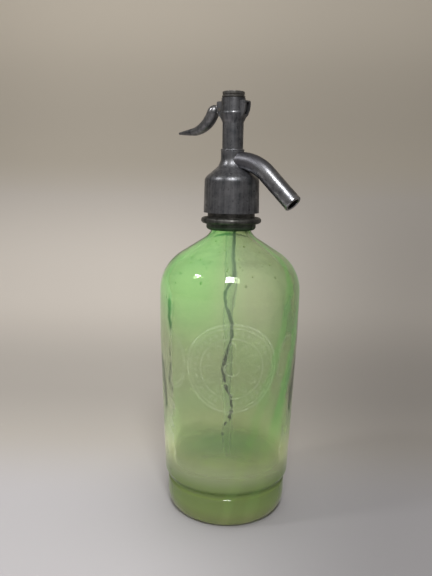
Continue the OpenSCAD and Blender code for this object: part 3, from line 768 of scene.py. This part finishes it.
def bottle_outline():
    """Outside and inside of the bottle as one closed row of points, in millimetres."""
    s = sizes()
    body_r, low_r, wall = s.body_r / MM, s.body_low_r / MM, s.wall / MM
    z = lip_levels()
    # underside of the foot: a shallow hollow, the ring that it stands on and its round outer edge
    out = [(0, 9)] + along_line((0, 9), (25, 9), 6)
    out += arc(25, 0, 9, 88, 6, 14)
    out += [(34.4, 0.25), (34.7, 0.04), (35.2, 0)] + along_line((35.2, 0), (39, 0), 2)
    out += [(39 + 6.6 * x, 14 + 14 * y) for x, y in arc(0, 0, 1, -86, 0, 20)]
    # the groove above the foot, the heel and the tapered wall up to the shoulder and the neck
    out += along_line((45.6, 14), (45.3, 22.4), 3)
    out += arc(46.9, 24.6, 2.6, 238, 122, 14)[1:]
    out += arc(low_r - 4, 31.2, 4, -58, 0, 10)
    out += along_line((low_r, 31.2), (body_r - 0.3, 136), 26)
    out += along_line((body_r - 0.3, 136), (body_r - 0.05, 166), 8)
    out += arc(body_r - SHOULDER_R, SHOULDER_Z, SHOULDER_R, -4, MEETING, 34)
    out += arc(NECK_R + SWEEP_R, z["neck"], SWEEP_R, 180 + MEETING, 180, 16)
    out += along_line((NECK_R, z["neck"]), (NECK_R, z["lip"]), 4)
    # the lip's rounded edge, then the bore and the inner wall down to the floor
    edge, lip_r, mouth_r = 1.2, 14.0, 10.4
    bore = mouth_r - edge
    out += [(lip_r, z["lip"])] + arc(lip_r, z["lip"] + edge, edge, -90, 0, 6)
    out += arc(lip_r, z["mouth"] - edge, edge, 0, 90, 6)
    out += [(mouth_r, z["mouth"])] + arc(mouth_r, z["mouth"] - edge, edge, 90, 180, 6)[1:]
    inner = along_line((bore, z["mouth"] - edge), (bore, z["neck"]), 10)
    inner += arc(bore + 19, z["neck"], 19, 180, 180 + 53.5, 16)
    inner += arc(body_r - SHOULDER_R, SHOULDER_Z, SHOULDER_R - 5, MEETING, 0, 34)
    corner_r, corner_z, floor_z = 18, 43, 29
    inner += along_line((body_r - wall, SHOULDER_Z), (low_r - wall, corner_z), 46)
    inner += arc(low_r - wall - corner_r, corner_z, corner_r, 0, -84, 22)
    last = inner[-1]
    for i in range(1, 15):
        t = i / 14
        rise = (floor_z - last[1]) * math.sin(t * math.pi / 2)
        inner.append((last[0] * (1 - t), last[1] + rise))
    out = [(r, h, OUTSIDE) for r, h in out]
    for r, h in inner:
        # the neck is true; the wall wanders most in the middle of the body
        free = min(1, max(0, (212 - h) / 40)) * min(1, max(0, (h - 30) / 16))
        out.append((r, h, free))
    return out


def lip_levels():
    """Heights of the neck's start, the lip and the mouth, from the CAD node's top."""
    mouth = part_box("glass_bottle")[1].z / MM
    return {"mouth": mouth, "lip": mouth - 7.4, "neck": mouth - 17.8}


def seeds_tree():
    """Geometry nodes that scatter small closed seeds through the shoulder's wall."""
    tree, given = new_form("glass_seeds", {
        "Middle wall": ("Object", None), "Count": ("Int", 60), "Least": ("Float", 0.0003),
        "Most": ("Float", 0.0009), "Seed": ("Int", 4), "Material": ("Material", None),
    })
    wall = add(tree, "GeometryNodeObjectInfo", (given["Middle wall"],)).outputs["Geometry"]
    spots = add(
        tree, "GeometryNodeDistributePointsOnFaces",
        {"Mesh": wall, "Density": 1e6, "Seed": given["Seed"]}, distribute_method="RANDOM",
    )
    # keeps only the wanted number of spots, spread evenly through the list
    number = add(tree, "GeometryNodeInputIndex")
    total = add(tree, "GeometryNodeAttributeDomainSize", (spots,), component="POINTCLOUD")
    step = add(tree, MATH, (total, given["Count"]), operation="DIVIDE")
    phase = add(tree, MATH, (step,), operation="FLOOR")
    phase = add(tree, MATH, (phase, 1.0), operation="MAXIMUM")
    phase = add(tree, MATH, (number, phase), operation="MODULO")
    drop = add(
        tree, "FunctionNodeCompare", (phase, 0.5), operation="GREATER_THAN", data_type="FLOAT"
    )
    few = add(tree, "GeometryNodeDeleteGeometry", (spots, drop), domain="POINT")
    seed = add(tree, "GeometryNodeMeshIcoSphere", {"Radius": 1.0, "Subdivisions": 2})
    hollow = add(tree, "GeometryNodeFlipFaces", (seed,))
    size = add(
        tree, "FunctionNodeRandomValue",
        {2: given["Least"], 3: given["Most"], "Seed": given["Seed"]}, data_type="FLOAT",
    ).outputs[1]
    along = add(tree, JOIN, (size, size, add(tree, MATH, (size, 1.5), operation="MULTIPLY")))
    put = add(
        tree, "GeometryNodeInstanceOnPoints", {"Points": few, "Instance": hollow, "Scale": along}
    )
    return end_form(tree, put, given["Material"])


def joined(name, pieces):
    """Joins several plain meshes into one piece."""
    shape = bmesh.new()
    for piece in pieces:
        shape.from_mesh(piece.data)
    mesh = bpy.data.meshes.new(name)
    shape.to_mesh(mesh)
    shape.free()
    for m in pieces[0].data.materials:
        mesh.materials.append(m)
    mesh.shade_smooth()
    for piece in pieces:
        bpy.data.objects.remove(piece)
    out = bpy.data.objects.new(name, mesh)
    bpy.context.scene.collection.objects.link(out)
    return out


class SIPHON_OT_bottle(bpy.types.Operator):
    """Blown bottle with its wandering wall, pinched foot and the seeds in its shoulder"""

    bl_idname = "siphon.bottle"
    bl_label = "Blow the bottle"

    def execute(self, context):
        s = sizes()
        outline = [(r * MM, h * MM, free) for r, h, free in bottle_outline()]
        bottle = turned(
            "bottle_wall", outline, material("glass"),
            **{"Sides": 224, "Wander": s.wander, "Seed": 3.0, "Chart radius": CHART_R * MM},
        )
        # the seeds lie on this sheet in the middle of the wall
        deep = 2.5
        middle = arc(s.body_r / MM - SHOULDER_R, SHOULDER_Z, SHOULDER_R - deep, 18, MEETING, 12)
        middle += arc(
            NECK_R + SWEEP_R, lip_levels()["neck"], SWEEP_R + 2.3, 180 + MEETING, 190, 8
        )
        band = turned(
            "middle_wall", [(r * MM, h * MM) for r, h in middle], material("glass"), Sides=48
        )
        seeds = made_by(
            seeds_tree(), "glass_seeds",
            {"Middle wall": band, "Count": s.seeds, "Material": material("glass")},
        )
        bpy.data.objects.remove(band)
        bottle = joined("bottle", [bottle, seeds])
        finish_piece(bottle, "root", "green_glass", "glass_bottle")
        return {"FINISHED"}


class SIPHON_OT_tube(bpy.types.Operator):
    """Drawn glass dip tube with fire-rounded ends"""

    bl_idname = "siphon.tube"
    bl_label = "Draw the dip tube"

    def execute(self, context):
        low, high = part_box("dip_tube")
        r, bore = sizes().tube_r, 2.5 * MM
        edge = (r - bore) / 2
        row = arc(bore + edge, low.z + edge, edge, 180, 360, 10)
        row += along_line((r, low.z + edge), (r, high.z - edge), 40)
        row += arc(bore + edge, high.z - edge, edge, 0, 180, 10)[1:]
        row += along_line((bore, high.z - edge), (bore, low.z + edge), 40)
        tube = turned(
            "dip_glass_tube", row, material("tube"), **{"Sides": 48, "Chart radius": CHART_R * MM}
        )
        finish_piece(tube, "root", "clear_glass", "dip_tube")
        return {"FINISHED"}


class SIPHON_OT_head(bpy.types.Operator):
    """Finishes of the cast head, its collar, cap, pin and seals"""

    bl_idname = "siphon.head"
    bl_label = "Finish the head"

    def execute(self, context):
        for node, name in {
            "head_body": "pewter", "neck_ring_front": "ring", "neck_ring_back": "ring",
            "top_cap": "cap", "lever_pin": "steel", "neck_gasket": "rubber",
            "tube_grommet": "rubber", "valve_washer": "rubber", "cap_washer": "rubber",
            "packing_washer": "leather", "tube_nut": "brass", "valve_seat": "brass",
            "piston_rod": "brass", "guide_bush": "brass",
        }.items():
            dress(node, name)
        return {"FINISHED"}


# ---------------------------------------------------------------- spout and lever


def spout_path():
    """Middle line of the spout: level root, bend and straight end, in millimetres."""
    start_x, level, bend_r, turn, straight = 3.0, 7.2, 33.0, 42.9, 29.6
    z = spout_level_z()
    out = [(x, z) for x in np.linspace(start_x, level, 6)[:-1]]
    out += arc(level, z - bend_r, bend_r, 90, 90 - turn, 32)
    (x, h), a = out[-1], math.radians(turn)
    out += along_line((x, h), (x + straight * math.cos(a), h - straight * math.sin(a)), 12)
    return [(x, 0, h) for x, h in out]


def spout_level_z():
    """Height of the spout's level root, from the top of its CAD node."""
    return (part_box("spout")[1].z - sizes().spout_r) / MM


class SIPHON_OT_spout(bpy.types.Operator):
    """Plated spout, bent from thick tube, with a soldered root and a rounded mouth"""

    bl_idname = "siphon.spout"
    bl_label = "Bend the spout"

    def execute(self, context):
        path = spout_path()
        length = sum(math.dist(a, b) for a, b in zip(path, path[1:]))
        r, bore, lip, bore_lip = sizes().spout_r / MM, 4.6, 0.7, 0.4
        row = [(bore, 0.0)] + along_line((bore, 0.0), (r, 0.0), 2)
        row += along_line((r, 0.0), (r, length - lip), 70)
        row += arc(r - lip, length - lip, lip, 12, 90, 6)
        row += arc(bore + bore_lip, length - bore_lip, bore_lip, 90, 180, 5)
        row += along_line((bore, length - bore_lip), (bore, 0.0), 60)
        spout = turned(
            "spout_tube", [(a * MM, b * MM) for a, b in row], material("spout"),
            path=[tuple(c * MM for c in p) for p in path], first_angle=0, Sides=64,
        )
        # the root is fitted to the column: rings near the axis are pressed out to its round face
        column_r = 8.25 * MM
        for v in spout.data.vertices:
            if v.co.x < column_r and abs(v.co.y) < column_r:
                v.co.x = max(v.co.x, math.sqrt(column_r**2 - v.co.y**2))
        finish_piece(spout, "root", "spout_metal", "spout")
        return {"FINISHED"}


# the horn's middle line, in millimetres: where its curl's centre stands from the pin, the curl's
# radius, first and last angle, the straight tip, how far along it swells and starts to taper, and
# by what share and how late it tapers
HORN = {
    "out": 28.3, "up": 7.5, "curl": 22.3, "start": -9.5, "end": -86.0, "tip": 13.4, "swell": 5.6,
    "full": 11.0, "taper": 0.82, "late": 1.35,
}


def lever_pin_place():
    """Middle of the pin that the lever turns about."""
    low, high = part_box("lever_pin")
    return (low + high) / 2


def horn_share(s, length):
    """Share of the full size of the horn at a distance along it, in millimetres."""
    top = min(1.0, s / HORN["swell"])
    fall = max(0.0, s - HORN["full"]) / (length - HORN["full"])
    swell = math.sqrt(max(0.0, 1 - (1 - top) ** 2))
    return swell * (1 - HORN["taper"] * fall ** HORN["late"])


def ear_side(pin_z):
    """Left edge of the ear's outline, grown by the clearance, from low to high, in millimetres."""
    grow = 0.35
    reach, low, top = 12.3 + grow, pin_z - 9.5 - grow, pin_z + 5.7 + grow
    return [
        (-6.55 - grow, low), (-8.6 - grow, low + 3.6), (-reach + 2, pin_z - 4.4),
        (-reach + 0.5, pin_z - 1), (-reach, pin_z + 2), (-reach, top - 1.2),
        (-reach + 0.35, top - 0.35), (-reach + 1.2, top),
    ]


class SIPHON_OT_lever(bpy.types.Operator):
    """Horn-shaped press lever with its flat tongue, round nose and hub"""

    bl_idname = "siphon.lever"
    bl_label = "Forge the lever"

    def execute(self, context):
        pin = lever_pin_place() / MM
        curl, tip, last = HORN["curl"], HORN["tip"], math.radians(HORN["end"])
        length = curl * math.radians(HORN["start"] - HORN["end"]) + tip
        path = arc(
            pin.x - HORN["out"], pin.z + HORN["up"], curl, HORN["start"], HORN["end"], 60
        )
        x, z = path[-1]
        path += along_line((x, z), (x + tip * math.sin(last), z - tip * math.cos(last)), 8)
        depth, width = sizes().horn_depth, sizes().horn_width
        row = [(0.0, 0.0)]
        for i in range(1, 21):
            s = HORN["swell"] * (1 - math.cos(math.pi / 2 * i / 20))
            row.append((horn_share(s, length), s))
        for i in range(1, 61):
            s = HORN["swell"] + (length - 0.6 - HORN["swell"]) * i / 60
            row.append((horn_share(s, length), s))
        tip_r = row[-1][0]
        row += [(tip_r * 0.75, length - 0.3), (tip_r * 0.4, length - 0.08), (0.0, length)]
        horn = turned(
            "lever_horn", [(q * depth, s * MM) for q, s in row], material("lever"),
            path=[(x * MM, 0, z * MM) for x, z in path], first_angle=0, Sides=48,
            Width=width / depth,
        )
        self.clear_of_ears(horn, pin)
        horn.data.shade_smooth()
        tongue = self.tongue(pin)
        lever = joined("lever_horn_and_tongue", [horn, tongue])
        # the tongue's flat faces stay flat between their rounded edges
        lever.data.set_sharp_from_angle(angle=math.radians(25))
        finish_piece(lever, "lever", "pewter", "lever")
        return {"FINISHED"}

    def clear_of_ears(self, horn, pin):
        """Presses the horn's inner side flat where the ears pass it through the stroke."""
        edge = ear_side(pin.z)
        for turn in (0, 4, 8, 12, 16):
            a = math.radians(turn)
            for v in horn.data.vertices:
                x, z = v.co.x / MM - pin.x, v.co.z / MM - pin.z
                # where the point stands when the lever is turned by this much
                tx, tz = x * math.cos(a) - z * math.sin(a), x * math.sin(a) + z * math.cos(a)
                tx, tz = tx + pin.x, tz + pin.z
                if edge[0][1] <= tz <= edge[-1][1]:
                    limit = np.interp(tz, [e[1] for e in edge], [e[0] for e in edge])
                    if tx > limit:
                        x, z = limit - pin.x, tz - pin.z
                        v.co.x = (x * math.cos(a) + z * math.sin(a) + pin.x) * MM
                        v.co.z = (-x * math.sin(a) + z * math.cos(a) + pin.z) * MM

    def tongue(self, pin):
        """Flat tongue: arm to the horn, hub round the pin, finger and round nose in the rod."""
        hub, nose, half = 2.8, 1.7, 1.4
        px, pz = pin.x, pin.z
        outline = arc(0, pz, nose, -145, 145, 29) + [(-4, pz + 0.9)]
        outline += arc(px, pz, hub, 35, 95, 6) + [(px - 6, pz + 2.6), (px - 6, pz - 1.6)]
        outline += arc(px, pz, hub, -110, -40, 7) + [(-4, pz - 0.9)]
        shape = bmesh.new()
        face = shape.faces.new([shape.verts.new((x * MM, -half * MM, z * MM)) for x, z in outline])
        grown = bmesh.ops.extrude_face_region(shape, geom=[face])
        moved = [g for g in grown["geom"] if isinstance(g, bmesh.types.BMVert)]
        bmesh.ops.translate(shape, verts=moved, vec=(0, 2 * half * MM, 0))
        bmesh.ops.recalc_face_normals(shape, faces=shape.faces)
        rim = [e for e in shape.edges if abs(e.verts[0].co.y - e.verts[1].co.y) < 1e-7]
        bmesh.ops.bevel(shape, geom=rim, offset=0.2 * MM, segments=2, affect="EDGES")
        mesh = bpy.data.meshes.new("tongue")
        shape.to_mesh(mesh)
        shape.free()
        piece = bpy.data.objects.new("tongue", mesh)
        bpy.context.scene.collection.objects.link(piece)
        return piece


def coil_tree():
    """Geometry nodes that wind a round wire into an open coil spring."""
    tree, given = new_form("wound_spring", {
        "Turns": ("Float", 6.0), "Coil radius": ("Float", 0.004), "Wire radius": ("Float", 0.00045),
        "Foot": ("Float", 0.0), "Length": ("Float", 0.01), "Material": ("Material", None),
    })
    line = add(
        tree, "GeometryNodeCurveSpiral",
        {
            "Resolution": 40, "Rotations": given["Turns"], "Start Radius": given["Coil radius"],
            "End Radius": given["Coil radius"], "Height": given["Length"],
        },
    )
    wire = add(
        tree, "GeometryNodeCurvePrimitiveCircle",
        {"Resolution": 12, "Radius": given["Wire radius"]},
    )
    coil = add(
        tree, "GeometryNodeCurveToMesh", {"Curve": line, "Profile Curve": wire, "Fill Caps": True}
    )
    lift = add(tree, JOIN, {2: given["Foot"]})
    moved = add(tree, "GeometryNodeSetPosition", {"Geometry": coil, "Offset": lift})
    return end_form(tree, moved, given["Material"])


class SIPHON_OT_spring(bpy.types.Operator):
    """Return spring wound round the valve rod"""

    bl_idname = "siphon.spring"
    bl_label = "Wind the spring"

    def execute(self, context):
        low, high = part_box("return_spring")
        # the wire's radius, and by how much the rod's full lift closes the spring
        wire, closing = 0.45 * MM, 2.76 * MM
        spring = made_by(
            coil_tree(), "wound_return_spring",
            {"Turns": sizes().spring_turns, "Coil radius": high.x - wire, "Wire radius": wire,
             "Foot": low.z + wire, "Length": high.z - low.z - 2 * wire,
             "Material": material("steel")},
        )
        face_out(spring)
        finish_piece(spring, "piston", "spring_steel", "return_spring")
        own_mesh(spring)
        return {"FINISHED"}


# ---------------------------------------------------------------- stage


def stage_material():
    """Pale grey paper sweep, matt, with painted light and shade: it is painted brightest low at the
    left, and greyer to the right and up the wall, like paper lit from a window at the left."""
    material, tree, shader = new_material("paper_sweep")
    place = add(tree, "ShaderNodeTexCoord").outputs["Object"]
    turned_round = add(tree, "ShaderNodeMapping", {0: place, 2: (0, 0, -math.radians(FRONT))})
    across, back, up = add(tree, SPLIT, (turned_round,)).outputs

    wall = add(tree, RANGE, (up, 0.05, 0.3, 0.0, 1.0), **SOFT)
    warm = add(tree, RANGE, (back, -0.02, 0.12, 0.0, 0.65), **SOFT)
    warm = add(tree, MATH, (wall, warm), operation="MAXIMUM")
    colour = add(
        tree, MIX, {0: warm, 6: linear("BAB7B9"), 7: linear("B8B0A3")}, data_type="RGBA"
    ).outputs[2]
    # painted shade: to the right the floor is painted darker and with distance brighter, with a
    # painted soft shadow behind the object
    column = add(tree, MATH, (back, 0.44), operation="ADD")
    column = add(tree, MATH, (column, 0.3), operation="MAXIMUM")
    column = add(tree, MATH, (across, column), operation="DIVIDE")
    shade = add(tree, RANGE, (column, -0.2, 0.33, 0.98, 0.51), **SOFT)
    deep = add(tree, RANGE, (back, -0.05, 0.6, 0.82, 1.17), **SOFT)
    shade = add(tree, MATH, (shade, deep), operation="MULTIPLY")
    band = add(tree, RANGE, (back, 0.0, 0.25, 0.0, 1.0), **SOFT)
    beyond = add(tree, RANGE, (back, 0.3, 0.7, 1.0, 0.0), **SOFT)
    band = add(tree, MATH, (band, beyond), operation="MULTIPLY")
    band = add(tree, MATH, (band, -0.27, 1.0), operation="MULTIPLY_ADD")
    shade = add(tree, MATH, (shade, band), operation="MULTIPLY")
    # painted light and shade: the wall is painted darker to the right and brighter high up
    wall_painted_light = add(tree, RANGE, (across, -0.5, 0.3, 0.82, 0.66), **SOFT)
    high = add(tree, RANGE, (up, 0.35, 0.65, 1.0, 1.3), **SOFT)
    wall_painted_light = add(tree, MATH, (wall_painted_light, high), operation="MULTIPLY")
    shade = add(tree, MIX, {0: wall, 2: shade, 3: wall_painted_light}, data_type="FLOAT")
    colour = add(tree, "ShaderNodeVectorMath", {0: colour, "Scale": shade}, operation="SCALE")
    fill(shader, {"Base Color": colour, "Roughness": 0.9})
    return material


def area_light(name, place, target, size, power):
    """A square white light that looks from its place at a target."""
    lamp = bpy.data.lights.new(name, "AREA")
    lamp.shape = "SQUARE"
    lamp.size = size
    lamp.energy = power
    holder = bpy.data.objects.new(name, lamp)
    aim = Vector(target) - Vector(place)
    turn = aim.to_track_quat("-Z", "Y").to_matrix().to_4x4()
    holder.matrix_world = Matrix.Translation(place) @ turn
    bpy.context.scene.collection.objects.link(holder)
    return holder


class SIPHON_OT_stage(bpy.types.Operator):
    """Paper sweep, soft lights and the camera"""

    bl_idname = "siphon.stage"
    bl_label = "Set the stage"

    def execute(self, context):
        scene = context.scene
        a = math.radians(FRONT)
        back = Vector((-math.sin(a), math.cos(a), 0))
        side = Vector((math.cos(a), math.sin(a), 0))
        # the sweep runs from in front of the object, bends up behind it and stands
        line = [(-1.6, 0.0), (0.55, 0.0)] + arc(0.55, 0.5, 0.5, -84, 0, 14) + [(1.05, 2.2)]
        verts, faces = [], []
        for w in (-2.0, 2.0):
            for d, h in line:
                verts.append(back * d + side * w + Vector((0, 0, h)))
        n = len(line)
        for i in range(n - 1):
            faces.append((i, i + n, i + n + 1, i + 1))
        mesh = bpy.data.meshes.new("sweep")
        mesh.from_pydata(verts, [], faces)
        mesh.materials.append(stage_material())
        mesh.shade_smooth()
        sweep = bpy.data.objects.new("sweep", mesh)
        scene.collection.objects.link(sweep)

        world = bpy.data.worlds.new("studio")
        scene.world = world
        world.use_nodes = True
        tree = world.node_tree
        room = tree.nodes["Background"]
        room.inputs[0].default_value = linear("D8D4CE")
        # the room behind the viewer is dim where it mirrors in metal and glass
        mirror = add(tree, "ShaderNodeLightPath").outputs["Is Glossy Ray"]
        dim = add(tree, RANGE, {0: mirror, 3: 0.42, 4: 0.29})
        fill(room, {1: dim})
        overhead = area_light("ceiling", (0.0, 0.1, 1.5), (0, 0, 0.1), 1.1, 15)
        overhead.visible_glossy = False
        overhead.visible_transmission = False
        key = -back * 0.75 + side * 0.05 + Vector((0, 0, 0.95))
        area_light("window", tuple(key), (0, 0, 0.2), 0.25, 8)
        b = math.radians(FRONT - 68)
        spot = (0.75 * math.sin(b), -0.75 * math.cos(b), 0.86)
        area_light("left_window", spot, (0, 0, 0.2), 0.11, 2.2)

        camera = bpy.data.cameras.new("viewpoint")
        camera.lens = 50.0
        camera.sensor_width = 36.0
        camera.sensor_fit = "HORIZONTAL"
        camera.clip_start = 0.02
        holder = bpy.data.objects.new("viewpoint", camera)
        scene.collection.objects.link(holder)
        away, height = 0.4434, 0.2545
        pitch, yaw, roll = (math.radians(v) for v in (10.7, 1.33, 0.95))
        flat = Matrix.Rotation(yaw, 3, "Z") @ back
        ahead = flat * math.cos(pitch) - Vector((0, 0, math.sin(pitch)))
        right = Vector((ahead.y, -ahead.x, 0)).normalized()
        up = right.cross(ahead)
        tilt = Matrix.Rotation(-roll, 3, ahead)
        turn = Matrix((tilt @ right, tilt @ up, -ahead)).transposed().to_4x4()
        holder.matrix_world = Matrix.Translation(-back * away + Vector((0, 0, height))) @ turn
        scene.camera = holder
        scene.view_settings.view_transform = "Standard"
        return {"FINISHED"}


class SIPHON_PT_panel(bpy.types.Panel):
    """Steps that dress the siphon, in order"""

    bl_idname = "SIPHON_PT_panel"
    bl_label = "Soda siphon"
    bl_space_type = "VIEW_3D"
    bl_region_type = "UI"
    bl_category = "Siphon"

    def draw(self, context):
        for step in STEPS:
            self.layout.operator(step.bl_idname)
        for group in (context.scene.siphon_sizes, context.scene.siphon_colours):
            box = self.layout.box()
            for name in group.__annotations__:
                box.prop(group, name)


STEPS = (
    SIPHON_OT_stage, SIPHON_OT_bottle, SIPHON_OT_tube, SIPHON_OT_head, SIPHON_OT_spout,
    SIPHON_OT_lever, SIPHON_OT_spring,
)
CLASSES = (SiphonSizes, SiphonColours, *STEPS, SIPHON_PT_panel)


def register():
    for item in CLASSES:
        bpy.utils.register_class(item)
    bpy.types.Scene.siphon_sizes = bpy.props.PointerProperty(type=SiphonSizes)
    bpy.types.Scene.siphon_colours = bpy.props.PointerProperty(type=SiphonColours)


def unregister():
    del bpy.types.Scene.siphon_colours
    del bpy.types.Scene.siphon_sizes
    for item in reversed(CLASSES):
        bpy.utils.unregister_class(item)


def main():
    register()
    for step in STEPS:
        area, name = step.bl_idname.split(".")
        getattr(getattr(bpy.ops, area), name)()


if __name__ == "__main__":
    main()
